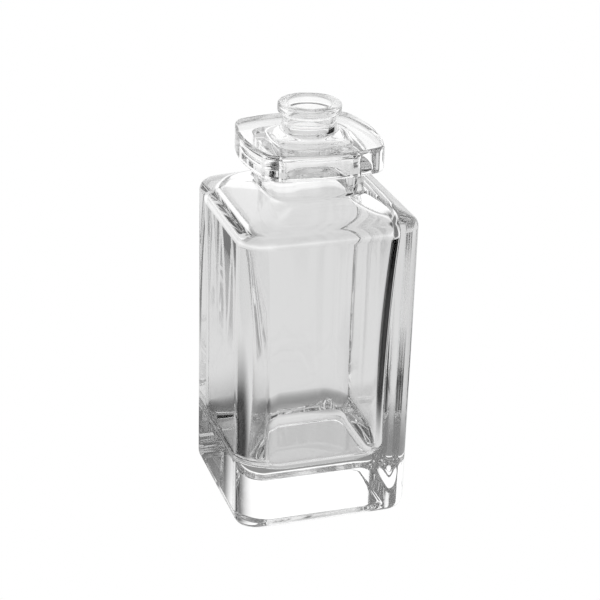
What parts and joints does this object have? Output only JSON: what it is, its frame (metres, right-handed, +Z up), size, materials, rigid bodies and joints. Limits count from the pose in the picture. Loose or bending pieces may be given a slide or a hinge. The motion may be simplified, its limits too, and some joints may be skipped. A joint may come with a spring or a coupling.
{
  "type": "aftershave bottle",
  "caption": "Square clear glass bottle with a thick base, sloping shoulders, a soft square throat and collar plate and an open crimp neck.",
  "frame": {"origin": "centre of the footprint, on the surface the bottle stands on", "axes": "+Z up along the neck's axis, +X and +Y square to two of the body's flat sides"},
  "size_m": [0.0436, 0.0436, 0.1004],
  "materials": {
    "clear_glass": "clear flint glass, fire polished"
  },
  "bodies": {
    "root": {"base": "clear_glass", "body": "clear_glass", "shoulder": "clear_glass", "throat": "clear_glass", "collar_plate": "clear_glass", "neck": "clear_glass", "crimp_bead": "clear_glass"}
  },
  "joints": []
}
